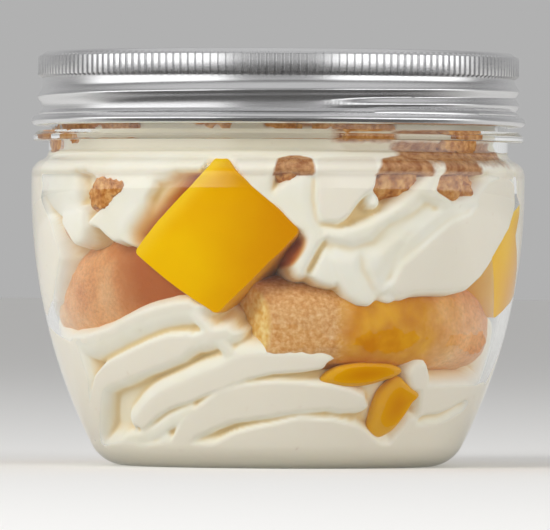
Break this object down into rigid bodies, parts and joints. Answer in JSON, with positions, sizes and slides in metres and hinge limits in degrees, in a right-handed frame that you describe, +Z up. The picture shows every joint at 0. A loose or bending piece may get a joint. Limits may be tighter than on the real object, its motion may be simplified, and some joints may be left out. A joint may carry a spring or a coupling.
{
  "type": "mango tiramisu in a jar",
  "caption": "Layered mango tiramisu with piped cream, sponge biscuits and cut mango, in a squat clear jar closed by a knurled metal screw lid.",
  "frame": {"origin": "centre of the jar's foot, on the surface that it stands on", "axes": "+Z up along the jar's axis, -Y towards the side with the shown mango cube, +X to that side's right"},
  "size_m": [0.089, 0.089, 0.0745],
  "materials": {
    "clear_jar": "clear and glossy",
    "lid_aluminium": "fine turned sheen",
    "cream": "soft whipped",
    "biscuit": "baked, porous crust",
    "mango": "moist cut fruit",
    "biscuit_crumb": "dry crumb"
  },
  "bodies": {
    "root": {"jar": "clear_jar", "lid": "lid_aluminium", "cream_base": "cream", "cream_top": "cream", "biscuit_right": "biscuit", "biscuit_left": "biscuit", "biscuit_back_right": "biscuit", "biscuit_back_left": "biscuit", "mango_cube_front": "mango", "mango_cube_right": "mango", "mango_cube_back": "mango", "mango_cube_left": "mango", "mango_slice_front_upper": "mango", "mango_slice_front_lower": "mango", "mango_slice_back_upper": "mango", "mango_slice_back_lower": "mango", "crumb_1": "biscuit_crumb", "crumb_2": "biscuit_crumb", "crumb_3": "biscuit_crumb", "crumb_4": "biscuit_crumb", "crumb_5": "biscuit_crumb", "crumb_6": "biscuit_crumb", "crumb_7": "biscuit_crumb", "crumb_8": "biscuit_crumb", "crumb_9": "biscuit_crumb", "crumb_10": "biscuit_crumb", "crumb_11": "biscuit_crumb", "crumb_12": "biscuit_crumb"}
  },
  "joints": []
}
